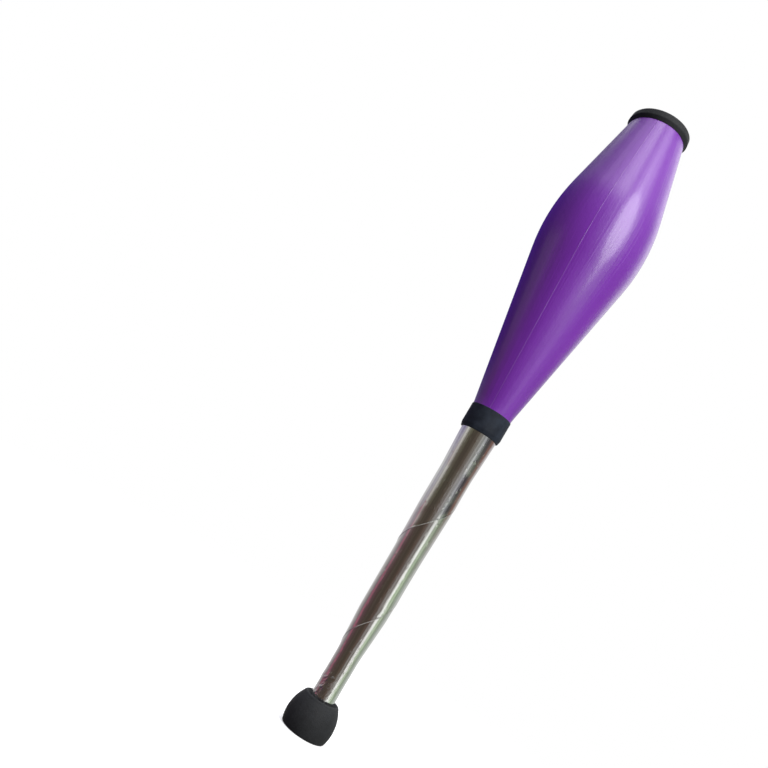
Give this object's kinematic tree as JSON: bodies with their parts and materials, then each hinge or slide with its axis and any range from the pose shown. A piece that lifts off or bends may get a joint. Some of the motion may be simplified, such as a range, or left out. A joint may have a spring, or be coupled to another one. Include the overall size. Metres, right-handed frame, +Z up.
{
  "type": "juggling club",
  "caption": "Long-handled juggling club: hollow tapered body with a foam cap, black collar, mirror-film handle over a wooden core, and a flat-based foam knob.",
  "frame": {"origin": "centre of the knob's flat base", "axes": "+Z up the club's axis from the knob to the cap; X and Y are equivalent, because every piece is round"},
  "size_m": [0.0812, 0.0812, 0.52],
  "materials": {
    "purple_plastic": "satin-gloss blow-moulded polyethylene with fine lengthwise die lines",
    "mirror_film": "mirror metallised film, wound in a spiral with lapped edges",
    "black_foam": "matte closed-cell foam",
    "black_band": "matte rubber band",
    "beech": "sanded, unfinished",
    "tube_plastic": "natural polyethylene",
    "bush_plastic": "moulded nylon",
    "spacer_foam": "soft closed-cell foam",
    "padding_foam": "thin soft foam wrap",
    "screw_steel": "zinc plated",
    "washer_steel": "zinc plated"
  },
  "bodies": {
    "root": {"knob": "black_foam", "knob_screw": "screw_steel", "knob_washer": "washer_steel", "end_bush": "bush_plastic", "wood_core": "beech", "handle_tube": "tube_plastic", "lower_spacer": "spacer_foam", "middle_spacer": "spacer_foam", "upper_spacer": "spacer_foam", "grip_padding": "padding_foam", "mirror_film": "mirror_film", "neck_bush": "bush_plastic", "collar_band": "black_band", "body_shell": "purple_plastic", "crown_hub": "bush_plastic", "top_cap": "black_foam", "top_washer": "washer_steel", "top_screw": "screw_steel"}
  },
  "joints": []
}
